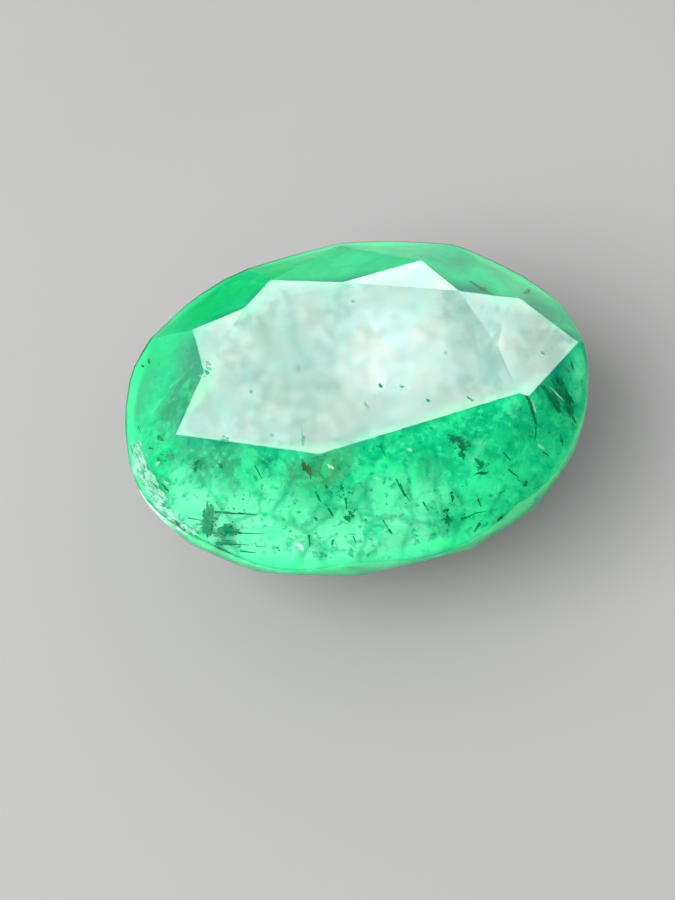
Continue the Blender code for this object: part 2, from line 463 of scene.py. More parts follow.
def body_colour(tree, coordinates, settings):
    """The cloudy green of the crystal, with zones, drifting veils and fine mottling,
    a band of painted light at girdle height and painted shade under the table.
    """
    surface = stone_surface()
    waver = add_node(tree, "ShaderNodeTexNoise", Scale=1.6 / MM, Detail=3.0)
    tree.links.new(coordinates, waver.inputs["Vector"])
    astray = add_node(tree, "ShaderNodeVectorMath")
    astray.operation = "MULTIPLY_ADD"
    astray.inputs[1].default_value = (ASTRAY, ASTRAY, ASTRAY)
    tree.links.new(waver.outputs["Color"], astray.inputs[0])
    tree.links.new(coordinates, astray.inputs[2])
    ragged = astray.outputs["Vector"]
    drift = noise_of(tree, coordinates, 0.42, 3.0, 0.4)
    mottle = noise_of(tree, coordinates, 2.0, 6.0, 0.8)
    grain = noise_of(tree, coordinates, 7.0, 4.0, 0.4)
    wisps = noise_of(tree, coordinates, 1.1, 6.0, 2.2)

    share = remapped(tree, drift, 0.38, 0.66, 0.0, 0.6)
    colour = mixed(tree, settings.mid_green, settings.deep_green, share)
    half_astray = Vector((ASTRAY, ASTRAY, ASTRAY)) / 2
    for across, down, reach, name, strength in ZONES:
        centre, _ = place_in_stone(surface, across, down, CORE_DEPTH)
        patch = patch_of(tree, ragged, centre + half_astray, reach * MM)
        weight = product(tree, patch, strength)
        colour = mixed(tree, colour, getattr(settings, name), weight)

    place = add_node(tree, "ShaderNodeSeparateXYZ")
    tree.links.new(coordinates, place.inputs[0])
    nearness = remapped(tree, place.outputs["Y"], 1.2 * MM, -0.8 * MM, 0.22, 1.0)
    inwards = remapped(tree, place.outputs["X"], -4.6 * MM, -3.4 * MM, 0.4, 1.0)
    crown = product(tree, nearness, inwards)
    below = remapped(tree, place.outputs["Z"], 3.2 * MM, 2.7 * MM, 0.0, 0.85)
    lively = calculated(tree, "MAXIMUM", crown, below)
    cells = add_node(tree, "ShaderNodeTexVoronoi", Scale=0.95 / MM)
    cells.feature = "DISTANCE_TO_EDGE"
    tree.links.new(ragged, cells.inputs["Vector"])
    seam = remapped(tree, cells.outputs["Distance"], 0.10, 0.0, 0.0, 0.5)
    light = remapped(tree, mottle, 0.47, 0.68, 0.0, 0.60)
    shade = remapped(tree, mottle, 0.49, 0.30, 0.0, 0.85)
    ridge = remapped(tree, wisps, 0.58, 0.70, 0.0, 0.40)
    speckle = remapped(tree, grain, 0.52, 0.70, 0.0, 0.6)
    pits = remapped(tree, grain, 0.46, 0.28, 0.0, 0.85)
    for share, name in (
        (seam, "vein"), (light, "bright_green"), (shade, "deep_green"),
        (ridge, "pale_veil"), (speckle, "bright_green"), (pits, "vein"),
    ):
        share = product(tree, share, lively)
        colour = mixed(tree, colour, getattr(settings, name), share)

    # Painted light: a band of the core at girdle height is turned to the brighter rim green
    rise = remapped(tree, place.outputs["Z"], 3.10 * MM, 3.34 * MM, 0.0, 0.55)
    fall = remapped(tree, place.outputs["Z"], 3.77 * MM, 3.66 * MM)
    painted_rim_band = product(tree, rise, fall)
    colour = mixed(tree, colour, settings.painted_rim_light, painted_rim_band)

    # Painted shade: the core under the table and stars is turned to a darker, cooler green
    shadow = None
    for across, down, reach in PAINTED_TABLE_SHADE:
        centre, _ = place_in_stone(surface, across, down, CORE_DEPTH)
        patch = patch_of(tree, coordinates, centre, reach * MM)
        if shadow is None:
            shadow = patch
        else:
            shadow = calculated(tree, "ADD", shadow, patch, clamp=True)
    share = product(tree, shadow, 0.94)
    return mixed(tree, colour, settings.window, share)


# Where fine scratches take the polish off, each at a pixel, and how far each reaches in
# millimetres
BLOOM = [
    (131, 448, 0.28), (137, 466, 0.42), (147, 486, 0.45), (158, 503, 0.40), (172, 518, 0.32),
]


def polished_material(settings):
    """Polished, milky emerald: it glows inside, lets part of the light through and mirrors."""
    material, tree, shader, coordinates = new_material("polished_emerald")
    bloom = noise_of(tree, coordinates, 0.9, 5.0, 0.6)
    share = remapped(tree, bloom, 0.40, 0.68)
    colour = mixed(tree, settings.skin_green, settings.skin_mint, share)
    tree.links.new(colour, shader.inputs["Base Color"])
    set_inputs(shader, Metallic=0.0, IOR=EMERALD_IOR)
    bloom = noise_of(tree, coordinates, 5.0, 4.0)
    patchy = remapped(tree, bloom, 0.36, 0.62, 0.15, 1.0)
    clear = None
    surface = stone_surface()
    for across, down, reach in BLOOM:
        centre, _ = place_in_stone(surface, across, down, 0.0)
        patch = patch_of(tree, coordinates, centre, reach * MM, 0.0)
        dulled = product(tree, patch, patchy)
        lost = remapped(tree, dulled, 0.0, 1.0, settings.clarity, 0.78)
        clear = lost if clear is None else product(tree, clear, lost)
    tree.links.new(clear, shader.inputs["Transmission Weight"])
    haze = noise_of(tree, coordinates, 1.3, 4.0)
    roughness = remapped(tree, haze, 0.35, 0.7, 0.02, 0.055)
    tree.links.new(roughness, shader.inputs["Roughness"])
    ripple = noise_of(tree, coordinates, 3.0, 3.0)
    bump = add_node(tree, "ShaderNodeBump", Strength=0.12, Distance=0.004 * MM)
    tree.links.new(ripple, bump.inputs["Height"])
    tree.links.new(bump.outputs["Normal"], shader.inputs["Normal"])
    absorb = add_node(
        tree, "ShaderNodeVolumeAbsorption", Color=ABSORPTION_COLOUR, Density=ABSORPTION_DENSITY
    )
    tree.links.new(absorb.outputs["Volume"], tree.nodes["Material Output"].inputs["Volume"])
    return material


# The most scraped stretch of the girdle, by a pixel of the photograph
FROST_PLACE = (136, 480)
FROST_REACH = 1.9 * MM

# The girdle's lower edge is worn pale between these two heights
EDGE_FOOT = 3.33 * MM
EDGE_TOP = 3.42 * MM


def frosted_material(settings):
    """The girdle, left from the coarse wheel: pale, scratched and without polish."""
    material, tree, shader, coordinates = new_material("frosted_girdle")
    centre, _ = place_in_stone(stone_surface(), *FROST_PLACE, 0.0)
    scraped = patch_of(tree, coordinates, centre, FROST_REACH)
    patches = noise_of(tree, coordinates, 1.2, 5.0)
    scuffs = noise_of(tree, coordinates, 9.0, 4.0)
    share = remapped(tree, patches, 0.36, 0.62, 0.0, 1.0)
    colour = mixed(tree, settings.rim_green, settings.frost, share)
    light = remapped(tree, scuffs, 0.36, 0.6, 0.25, 1.0)
    white = product(tree, scraped, light)
    colour = mixed(tree, colour, SCRAPED_WHITE, white)
    tree.links.new(colour, shader.inputs["Base Color"])
    rough = remapped(tree, scuffs, 0.3, 0.7, 0.35, 0.62)
    tree.links.new(rough, shader.inputs["Roughness"])
    height = add_node(tree, "ShaderNodeSeparateXYZ")
    tree.links.new(coordinates, height.inputs[0])
    edge = remapped(tree, height.outputs["Z"], EDGE_TOP, EDGE_FOOT, 0.0, 0.08)
    worn = calculated(tree, "MAXIMUM", white, edge)
    clear = remapped(tree, worn, 0.0, 0.6, 0.95, 0.25)
    tree.links.new(clear, shader.inputs["Transmission Weight"])
    set_inputs(
        shader, IOR=EMERALD_IOR, Specular_IOR_Level=0.2, Subsurface_Weight=1.0,
        Subsurface_Radius=GLOW_SPREAD, Subsurface_Scale=settings.glow,
    )
    bump = add_node(tree, "ShaderNodeBump", Strength=0.6, Distance=0.02 * MM)
    tree.links.new(scuffs, bump.inputs["Height"])
    tree.links.new(bump.outputs["Normal"], shader.inputs["Normal"])
    return material


def inclusion_material(name, colour, second, roughness):
    """A material caught inside the stone, which drifts between two colours."""
    material, tree, shader, coordinates = new_material(name)
    patches = noise_of(tree, coordinates, 5.0, 4.0)
    share = remapped(tree, patches, 0.4, 0.62)
    tree.links.new(mixed(tree, colour, second, share), shader.inputs["Base Color"])
    set_inputs(shader, Roughness=roughness, Specular_IOR_Level=0.05)
    return material


def core_material(settings):
    """The milky heart of the crystal, which scatters the light that reaches it."""
    material, tree, shader, coordinates = new_material("milky_core")
    colour = body_colour(tree, coordinates, settings)
    tree.links.new(colour, shader.inputs["Base Color"])
    set_inputs(
        shader, Roughness=0.9, Specular_IOR_Level=0.0, Subsurface_Weight=1.0,
        Subsurface_Radius=GLOW_SPREAD, Subsurface_Scale=settings.glow,
    )
    return material


class EMERALD_OT_milky_core(bpy.types.Operator):
    """Fill the stone with a milky core, which stays a thin clear skin short of the facets"""

    bl_idname = "emerald.milky_core"
    bl_label = "Milky Core"

    def execute(self, context):
        settings = context.scene.emerald_stone
        surface = stone_surface()
        work = bmesh.new()
        bmesh.ops.create_icosphere(work, subdivisions=6, radius=1.0)
        by_rim = {vert for vert in work.verts if self.rim_share(surface, vert) > 0.45}
        fine = [edge for edge in work.edges if by_rim.issuperset(edge.verts)]
        bmesh.ops.subdivide_edges(work, edges=fine, cuts=1, use_grid_fill=True)
        bmesh.ops.triangulate(work, faces=work.faces[:])
        away_from_rim = [vert for vert in work.verts if self.rim_share(surface, vert) < 0.35]
        for vert in work.verts:
            rim = self.rim_share(surface, vert)
            outward = vert.co.normalized()
            hit, normal, _, distance = surface.ray_cast(CORE_CENTRE, outward)
            swell = noise.fractal(hit * 900.0, 1.0, 2.0, 4)
            slant = max(0.35, normal.dot(outward))
            skin = settings.skin * (1.0 + 0.7 * swell) * (1.0 - 0.88 * rim)
            skin = max(LEAST_SKIN * (1.0 - 0.75 * rim), skin)
            vert.co = CORE_CENTRE + outward * (distance - skin / slant)
        for _ in range(2):
            bmesh.ops.smooth_vert(
                work, verts=away_from_rim, factor=0.4,
                use_axis_x=True, use_axis_y=True, use_axis_z=True,
            )
        bmesh.ops.recalc_face_normals(work, faces=work.faces[:])
        core = new_object("milky_core", work, [core_material(settings)], smooth=True)
        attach(core, "root")
        return {"FINISHED"}

    def rim_share(self, surface, vert):
        """One at the girdle's middle height, falling to nothing away from it."""
        hit, _, _, _ = surface.ray_cast(CORE_CENTRE, vert.co.normalized())
        return max(0.0, 1.0 - abs(hit.z - GIRDLE_MIDDLE) / RIM_REACH)


class EMERALD_OT_cut_stone(bpy.types.Operator):
    """Copy the solid, round its worn edges and give it its polish and frosted girdle"""

    bl_idname = "emerald.cut_stone"
    bl_label = "Cut Stone"

    def execute(self, context):
        settings = context.scene.emerald_stone
        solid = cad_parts["emerald"]
        stone = bmesh.new()
        stone.from_mesh(solid.data)
        bmesh.ops.remove_doubles(stone, verts=stone.verts[:], dist=MERGE_WITHIN)
        bmesh.ops.dissolve_limit(
            stone, angle_limit=SAME_FACET, verts=stone.verts[:], edges=stone.edges[:]
        )
        bmesh.ops.recalc_face_normals(stone, faces=stone.faces[:])
        for face in stone.faces:
            upright = abs(face.normal.z) < 0.2
            face.material_index = 1 if upright else 0
        rims = self.rims_of(stone)
        others = [edge for edge in stone.edges if edge not in rims]
        self.round_edges(stone, others, settings.edge_wear)
        rims = self.rims_of(stone)
        for face in self.round_edges(stone, rims, settings.rim_wear)["faces"]:
            face.material_index = 1
        cut = new_object(
            "cut_stone", stone, [polished_material(settings), frosted_material(settings)]
        )
        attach(cut, "root")
        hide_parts("emerald")
        return {"FINISHED"}

    def rims_of(self, stone):
        """The edges between the polished facets and the frosted girdle."""
        return [
            edge for edge in stone.edges
            if len({face.material_index for face in edge.link_faces}) == 2
        ]

    def round_edges(self, stone, edges, offset):
        """Round edges over, as wear does."""
        return bmesh.ops.bevel(
            stone,
            geom=edges,
            offset=offset,
            offset_type="OFFSET",
            segments=2,
            profile=0.5,
            affect="EDGES",
            clamp_overlap=True,
            material=-1,
        )


# Needles, each seen from one pixel to another, with its thickness and its depth below
# the surface in millimetres
Needle = namedtuple("Needle", "across down to_across to_down thickness depth")
NEEDLES = [
    (215, 512, 244, 514, 0.055, 0.06), (238, 513, 257, 515, 0.035, 0.07),
    (188, 518, 205, 521, 0.025, 0.08), (196, 524, 206, 525, 0.018, 0.08),
    (224, 531, 242, 533, 0.045, 0.07), (238, 533, 265, 534, 0.026, 0.08),
    (222, 540, 236, 541, 0.020, 0.08), (226, 544, 249, 545, 0.026, 0.08),
    (240, 551, 256, 553, 0.028, 0.08), (256, 546, 266, 547, 0.018, 0.08),
    (222, 549, 232, 556, 0.018, 0.07), (214, 549, 224, 557, 0.024, 0.06),
    (173, 522, 185, 531, 0.028, 0.015), (315, 491, 321, 502, 0.045, 0.08),
    (317, 495, 320, 501, 0.070, 0.09), (328, 508, 333, 516, 0.065, 0.08),
    (309, 535, 310, 547, 0.040, 0.10), (307, 555, 307, 564, 0.040, 0.10),
    (333, 540, 331, 549, 0.045, 0.14), (279, 550, 284, 554, 0.060, 0.12),
    (255, 466, 262, 479, 0.030, 0.14), (396, 479, 401, 489, 0.040, 0.08),
    (399, 484, 405, 496, 0.075, 0.08), (405, 494, 410, 502, 0.026, 0.10),
    (380, 445, 386, 457, 0.024, 0.10), (376, 446, 384, 448, 0.026, 0.10),
    (353, 536, 357, 546, 0.030, 0.14), (351, 549, 357, 549, 0.026, 0.14),
    (347, 567, 358, 569, 0.050, 0.07), (352, 567, 360, 572, 0.026, 0.07),
    (340, 567, 345, 568, 0.030, 0.07), (383, 520, 391, 533, 0.022, 0.12),
    (389, 530, 392, 534, 0.055, 0.12), (407, 545, 407, 555, 0.045, 0.12),
    (423, 502, 430, 513, 0.028, 0.16), (430, 535, 443, 533, 0.024, 0.14),
    (462, 520, 476, 513, 0.032, 0.10), (461, 519, 467, 517, 0.060, 0.10),
    (476, 513, 487, 511, 0.022, 0.12), (480, 523, 474, 532, 0.060, 0.09),
    (476, 530, 468, 541, 0.022, 0.10), (464, 540, 459, 550, 0.045, 0.09),
    (508, 469, 519, 478, 0.045, 0.10), (499, 493, 505, 490, 0.032, 0.12),
    (543, 452, 549, 456, 0.045, 0.09), (528, 436, 535, 438, 0.030, 0.09),
    (503, 452, 511, 461, 0.040, 0.16), (518, 480, 527, 484, 0.024, 0.10),
    (478, 499, 481, 507, 0.045, 0.12), (467, 396, 473, 401, 0.035, 0.05),
    (427, 399, 430, 402, 0.035, 0.05), (399, 385, 406, 387, 0.018, 0.05),
    (302, 430, 302, 446, 0.024, 0.05), (304, 436, 303, 444, 0.018, 0.06),
    (573, 418, 578, 441, 0.045, 0.06), (470, 281, 486, 291, 0.070, 0.10),
    (484, 290, 496, 297, 0.060, 0.10), (524, 293, 530, 289, 0.050, 0.07),
    (138, 426, 141, 433, 0.030, 0.10), (162, 484, 168, 490, 0.045, 0.07),
]


def add_needle(work, start, end, thickness):
    """A slender five-sided crystal between two points, blunt at one end."""
    along = end - start
    middle = (start + end) / 2
    turn = along.to_track_quat("Z", "Y").to_matrix().to_4x4()
    bmesh.ops.create_cone(
        work,
        cap_ends=True,
        cap_tris=False,
        segments=5,
        radius1=thickness / 2,
        radius2=thickness / 5,
        depth=along.length,
        matrix=Matrix.Translation(middle) @ turn,
    )


class EMERALD_OT_needles(bpy.types.Operator):
    """Grow the dark needles that lie just under the crown's facets"""

    bl_idname = "emerald.needles"
    bl_label = "Needles"

    def execute(self, context):
        settings = context.scene.emerald_inclusions
        surface = stone_surface()
        work = bmesh.new()
        for row in map(Needle._make, NEEDLES):
            start, _ = place_in_stone(surface, row.across, row.down, row.depth * MM)
            end, _ = place_in_stone(surface, row.to_across, row.to_down, row.depth * MM)
            add_needle(work, start, end, row.thickness * MM)
        bmesh.ops.recalc_face_normals(work, faces=work.faces[:])
        dark = inclusion_material(
            "needle_green", settings.dark, [part * 2.2 for part in settings.dark], 0.4
        )
        needles = new_object("needles", work, [dark])
        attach(needles, "root")
        return {"FINISHED"}


# Flakes: thin ragged plates of mineral, each seen from one pixel to another, with its
# width and depth in millimetres and its mineral
Flake = namedtuple("Flake", "across down to_across to_down width depth mineral")
FLAKES = [
    (211, 505, 210, 514, 0.08, 0.08, "olive"), (209, 508, 208, 536, 0.22, 0.10, "olive"),
    (203, 516, 216, 520, 0.16, 0.11, "olive"), (203, 527, 213, 525, 0.16, 0.09, "olive"),
    (218, 531, 239, 529, 0.19, 0.10, "olive"), (224, 524, 233, 535, 0.15, 0.09, "olive"),
    (213, 533, 226, 536, 0.10, 0.08, "olive"), (215, 543, 236, 543, 0.09, 0.10, "olive"),
    (212, 548, 222, 551, 0.07, 0.10, "olive"), (448, 436, 460, 441, 0.12, 0.08, "dark"),
    (450, 441, 456, 439, 0.10, 0.09, "dark"), (458, 444, 467, 450, 0.15, 0.08, "dark"),
    (461, 450, 463, 459, 0.09, 0.10, "dark"), (466, 441, 471, 446, 0.07, 0.10, "dark"),
    (475, 458, 480, 464, 0.07, 0.08, "dark"), (478, 462, 483, 468, 0.11, 0.08, "dark"),
    (475, 474, 489, 472, 0.06, 0.08, "dark"), (444, 520, 451, 520, 0.11, 0.10, "dark"),
    (447, 513, 449, 526, 0.06, 0.12, "dark"), (451, 493, 453, 501, 0.07, 0.14, "dark"),
    (443, 511, 449, 509, 0.06, 0.14, "dark"), (524, 486, 527, 481, 0.07, 0.09, "dark"),
    (345, 516, 351, 521, 0.10, 0.14, "dark"), (349, 511, 353, 517, 0.06, 0.14, "dark"),
    (341, 485, 343, 490, 0.07, 0.10, "dark"), (325, 485, 328, 488, 0.06, 0.12, "dark"),
    (345, 497, 347, 509, 0.05, 0.14, "dark"), (315, 517, 317, 521, 0.05, 0.14, "dark"),
    (448, 541, 453, 537, 0.10, 0.16, "dark"), (194, 465, 202, 461, 0.08, 0.09, "dark"),
    (194, 472, 198, 464, 0.07, 0.09, "dark"), (218, 464, 223, 467, 0.08, 0.10, "dark"),
    (150, 447, 153, 456, 0.10, 0.12, "dark"), (145, 458, 148, 462, 0.06, 0.12, "dark"),
    (158, 437, 163, 440, 0.10, 0.14, "dark"), (166, 455, 173, 458, 0.09, 0.14, "olive"),
    (157, 458, 160, 462, 0.06, 0.08, "rust"), (164, 486, 168, 491, 0.05, 0.08, "dark"),
    (541, 385, 553, 398, 0.16, 0.08, "dark"), (547, 393, 563, 413, 0.18, 0.08, "dark"),
    (555, 375, 567, 391, 0.13, 0.10, "dark"), (562, 385, 572, 402, 0.16, 0.08, "dark"),
    (567, 397, 572, 419, 0.15, 0.08, "dark"), (553, 383, 560, 394, 0.08, 0.12, "dark"),
    (571, 361, 573, 369, 0.07, 0.06, "rust"), (564, 366, 569, 372, 0.06, 0.10, "olive"),
    (303, 461, 306, 472, 0.09, 0.07, "rust"), (308, 465, 311, 477, 0.08, 0.07, "rust"),
    (311, 459, 330, 456, 0.10, 0.12, "olive"), (316, 470, 324, 478, 0.06, 0.12, "olive"),
    (276, 552, 283, 554, 0.05, 0.12, "dark"), (534, 498, 538, 499, 0.05, 0.06, "dark"),
    (498, 521, 502, 517, 0.07, 0.14, "dark"), (560, 435, 563, 445, 0.06, 0.10, "dark"),
    (148, 360, 150, 363, 0.06, 0.08, "rust"), (141, 365, 144, 367, 0.04, 0.08, "dark"),
    (380, 384, 382, 386, 0.04, 0.05, "dark"), (473, 283, 486, 292, 0.10, 0.09, "dark"),
    (526, 294, 530, 290, 0.06, 0.07, "dark"), (525, 394, 531, 404, 0.07, 0.05, "rust"),
    (529, 401, 534, 414, 0.08, 0.06, "dark"), (533, 411, 536, 426, 0.045, 0.06, "dark"),
    (536, 424, 535, 441, 0.035, 0.07, "dark"), (522, 393, 529, 396, 0.05, 0.04, "pale"),
    (532, 400, 536, 412, 0.04, 0.05, "pale"), (549, 386, 564, 401, 0.035, 0.05, "pale"),
    # The white plates at 295, 542 and at 328, 465 are painted glints, standing in for light caught
    # by tiny fractures
    (523, 289, 528, 287, 0.03, 0.06, "pale"), (295, 542, 304, 549, 0.07, 0.04, "white"),
    (290, 536, 296, 539, 0.04, 0.06, "pale"), (328, 465, 334, 469, 0.05, 0.06, "white"),
    (155, 465, 160, 462, 0.06, 0.05, "pale"), (164, 481, 169, 484, 0.04, 0.05, "pale"),
    (374, 478, 380, 479, 0.05, 0.06, "pale"), (408, 449, 412, 451, 0.05, 0.06, "pale"),
    (538, 444, 544, 449, 0.05, 0.06, "pale"), (481, 535, 465, 549, 0.07, 0.04, "pale"),
]


def add_flake(work, surface, row, draw):
    """One thin plate with a ragged rim, lying along the facet it is seen through."""
    start, normal = place_in_stone(surface, row.across, row.down, row.depth * MM)
    end, _ = place_in_stone(surface, row.to_across, row.to_down, row.depth * MM)
    along = end - start
    side = normal.cross(along).normalized()
    upward = along.normalized().cross(side)
    made = bmesh.ops.create_circle(work, cap_ends=True, segments=26, radius=1.0)
    verts = made["verts"]
    phase = draw.uniform(0, 100)
    for vert in verts:
        ragged = noise.fractal(vert.co * 1.6 + Vector((phase, 0.0, 0.0)), 0.7, 2.0, 4)
        vert.co *= max(0.35, 1.0 + 0.75 * ragged)
    lying = list({face for vert in verts for face in vert.link_faces})
    raised = bmesh.ops.extrude_face_region(work, geom=lying)
    top = [item for item in raised["geom"] if isinstance(item, bmesh.types.BMVert)]
    bmesh.ops.translate(work, verts=top, vec=(0.0, 0.0, 1.0))
    half = along.length / 2
    wide = row.width * MM / 2
    frame_of_flake = Matrix((
        (along.normalized().x * half, side.x * wide, upward.x * FLAKE_THICKNESS),
        (along.normalized().y * half, side.y * wide, upward.y * FLAKE_THICKNESS),
        (along.normalized().z * half, side.z * wide, upward.z * FLAKE_THICKNESS),
    )).to_4x4()
    frame_of_flake.translation = (start + end) / 2
    every = verts + top
    bmesh.ops.transform(work, matrix=frame_of_flake, verts=every)
    for face in {face for vert in every for face in vert.link_faces}:
        face.material_index = MINERALS.index(row.mineral)


class EMERALD_OT_flakes(bpy.types.Operator):
    """Lay the ragged flakes of dark, olive, rusty and pale mineral under the facets"""

    bl_idname = "emerald.flakes"
    bl_label = "Mineral Flakes"

    def execute(self, context):
        settings = context.scene.emerald_inclusions
        surface = stone_surface()
        draw = random.Random(settings.seed + 1)
        work = bmesh.new()
        for row in map(Flake._make, FLAKES + SPECKS + scuff_rows(draw)):
            add_flake(work, surface, row, draw)
        bmesh.ops.recalc_face_normals(work, faces=work.faces[:])
        materials = [
            inclusion_material("flake_dark", settings.dark, settings.dark_second, 0.5),
            inclusion_material("flake_olive", settings.olive, settings.dark_second, 0.6),
            inclusion_material("flake_rust", settings.stain, settings.stain_second, 0.6),
            inclusion_material("flake_pale", settings.pale, settings.pale_second, 0.5),
            # White scratches of the scuffed band, and painted glints where tiny fractures catch the
            # light
            inclusion_material("flake_white_scratch_and_glint", (0.95, 0.98, 0.96), settings.pale, 0.3),
            inclusion_material("flake_dust", (0.13, 0.22, 0.18), (0.20, 0.31, 0.26), 0.6),
            inclusion_material("flake_frost", (0.56, 0.86, 0.76), (0.32, 0.78, 0.58), 0.6),
        ]
        flakes = new_object("mineral_flakes", work, materials)
        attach(flakes, "root")
        return {"FINISHED"}


# Pits, dust and chips that sit in the polish itself, so they break its reflection
SPECKS = [
    (379, 384, 382, 387, 0.05, -0.001, "dark"), (400, 386, 404, 387, 0.03, -0.001, "olive"),
    (427, 399, 430, 402, 0.05, -0.001, "dark"), (467, 396, 473, 401, 0.03, -0.001, "dark"),
    (302, 431, 303, 446, 0.025, -0.001, "olive"), (304, 436, 303, 443, 0.04, -0.001, "olive"),
    (297, 366, 298, 373, 0.05, -0.001, "dust"), (270, 433, 273, 436, 0.035, -0.001, "olive"),
    (206, 362, 210, 366, 0.07, -0.001, "dust"), (203, 371, 208, 374, 0.08, -0.001, "dark"),
    (207, 367, 212, 370, 0.05, -0.001, "olive"), (200, 376, 206, 377, 0.06, -0.001, "dust"),
    (221, 440, 230, 441, 0.06, -0.001, "dark"), (223, 437, 228, 438, 0.04, -0.001, "dust"),
    (215, 440, 222, 442, 0.03, -0.001, "dark"), (498, 349, 504, 362, 0.012, -0.001, "dust"),
    (503, 360, 510, 376, 0.010, -0.001, "dust"), (352, 300, 354, 302, 0.03, -0.001, "olive"),
    (445, 352, 447, 354, 0.03, -0.001, "olive"), (335, 385, 338, 388, 0.03, -0.001, "olive"),
    (364, 402, 368, 407, 0.04, -0.001, "olive"), (250, 390, 252, 393, 0.03, -0.001, "olive"),
    (541, 352, 544, 354, 0.03, -0.001, "olive"),
]

# Scuffs: a band of frost and fine scratches along the near left rim, through these
# pixels, this many pixels wide at most
SCUFF_PATH = [(129, 443), (132.5, 464), (142, 487), (153, 504), (168, 520), (186, 535)]
SCUFF_BAND = 14
FROST_FLAKES = 70
SCRATCHES = 240


def scuff_rows(draw):
    """Frost flakes under fine scratches, both at random along the scuffed band."""
    rows = []
    for number in range(FROST_FLAKES + SCRATCHES):
        leg = draw.randrange(len(SCUFF_PATH) - 1)
        start = Vector(SCUFF_PATH[leg])
        step = Vector(SCUFF_PATH[leg + 1]) - start
        along = step.normalized()
        inward = Vector((along.y, -along.x))
        narrow = 1.0 if leg < 3 else 0.45
        place = start + step * draw.random() + inward * draw.uniform(0.5, SCUFF_BAND) * narrow
        slant = along + inward * abs(draw.gauss(0.0, 0.3))
        if number < FROST_FLAKES:
            end = place + slant * draw.uniform(5.0, 10.0)
            rows.append((*place, *end, draw.uniform(0.05, 0.11), 0.07, "frost"))
            continue
        end = place + slant * draw.uniform(2.5, 9.0)
        width = draw.uniform(0.008, 0.026)
        mineral = draw.choice(("white", "pale", "pale", "olive"))
        rows.append((*place, *end, width, draw.uniform(0.02, 0.05), mineral))
    return rows


# Clusters of dark flecks, each seen at a pixel: how far it spreads across and down in
# pixels, how many flecks it has, their size and their depth in millimetres
Cluster = namedtuple("Cluster", "across down wide high count size depth")
CLUSTERS = [
    (210, 520, 9, 16, 30, 0.05, 0.09), (226, 529, 13, 8, 30, 0.05, 0.09),
    (225, 545, 13, 5, 16, 0.04, 0.09), (455, 443, 12, 8, 18, 0.05, 0.10),
    (468, 444, 5, 5, 6, 0.05, 0.10), (481, 466, 8, 7, 12, 0.045, 0.10),
    (448, 515, 8, 8, 14, 0.05, 0.12), (470, 525, 9, 9, 12, 0.04, 0.12),
    (349, 516, 6, 7, 12, 0.05, 0.14), (343, 492, 7, 8, 12, 0.05, 0.12),
    (332, 490, 8, 5, 9, 0.045, 0.12), (452, 497, 4, 6, 8, 0.045, 0.12),
    (165, 455, 10, 8, 12, 0.05, 0.12), (197, 466, 6, 6, 10, 0.05, 0.10),
    (560, 400, 12, 14, 20, 0.05, 0.10), (572, 420, 3, 12, 10, 0.04, 0.10),
    (532, 412, 5, 12, 10, 0.035, 0.08), (480, 288, 9, 5, 12, 0.045, 0.10),
    (306, 470, 5, 6, 8, 0.04, 0.09), (355, 562, 10, 5, 8, 0.035, 0.10),
]


def add_fleck(work, centre, size, draw):
    """A small, flat, irregular flake of dark mineral, turned at random."""
    made = bmesh.ops.create_icosphere(work, subdivisions=1, radius=size / 2)
    verts = made["verts"]
    for vert in verts:
        vert.co *= draw.uniform(0.65, 1.25)
    stretch = (draw.uniform(0.7, 1.5), draw.uniform(0.4, 0.9), draw.uniform(0.25, 0.5))
    bmesh.ops.scale(work, verts=verts, vec=stretch)
    axis = Vector((draw.uniform(-1, 1), draw.uniform(-1, 1), draw.uniform(-1, 1))).normalized()
    turn = Matrix.Rotation(draw.uniform(0, math.tau), 3, axis)
    bmesh.ops.rotate(work, verts=verts, cent=(0, 0, 0), matrix=turn)
    bmesh.ops.translate(work, verts=verts, vec=centre)


class EMERALD_OT_flecks(bpy.types.Operator):
    """Set the clusters of dark flecks, and scatter fine ones through the near crown"""

    bl_idname = "emerald.flecks"
    bl_label = "Dark Flecks"

    def execute(self, context):
        settings = context.scene.emerald_inclusions
        surface = stone_surface()
        draw = random.Random(settings.seed)
        work = bmesh.new()
        for row in map(Cluster._make, CLUSTERS):
            for _ in range(row.count):
                across = draw.gauss(row.across, row.wide / 2)
                down = draw.gauss(row.down, row.high / 2)
                depth = row.depth * draw.uniform(0.8, 1.6) * MM
                centre, _ = place_in_stone(surface, across, down, depth)
                add_fleck(work, centre, row.size * draw.uniform(0.5, 1.2) * MM, draw)
        placed = 0
        while placed < settings.scattered:
            turn = draw.uniform(0, math.tau)
            reach = math.sqrt(draw.uniform(0.1, 0.86))
            x = HALF_LENGTH * reach * math.cos(turn)
            y = HALF_WIDTH * reach * math.sin(turn)
            top, _, _, _ = surface.ray_cast(Vector((x, y, 0.02)), Vector((0, 0, -1)))
            if top is None:
                continue
            depth = draw.uniform(0.06, 0.20) * MM
            add_fleck(work, top - Vector((0, 0, depth)), draw.uniform(0.02, 0.055) * MM, draw)
            placed += 1
        for _ in range(settings.hidden):
            turn = draw.uniform(0, math.tau)
            dip = math.radians(draw.uniform(8, 62))
            aim = Vector((
                math.cos(turn) * math.cos(dip), math.sin(turn) * math.cos(dip), -math.sin(dip)
            ))
            hit, _, _, _ = surface.ray_cast(CORE_CENTRE, aim)
            centre = hit - aim * draw.uniform(0.08, 0.26) * MM
            size = draw.choice((0.03, 0.05, 0.05, 0.09, 0.13)) * draw.uniform(0.7, 1.2)
            add_fleck(work, centre, size * MM, draw)
        bmesh.ops.recalc_face_normals(work, faces=work.faces[:])
        dark = inclusion_material("fleck_green", settings.dark, settings.dark_second, 0.5)
        flecks = new_object("dark_flecks", work, [dark])
        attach(flecks, "root")
        return {"FINISHED"}


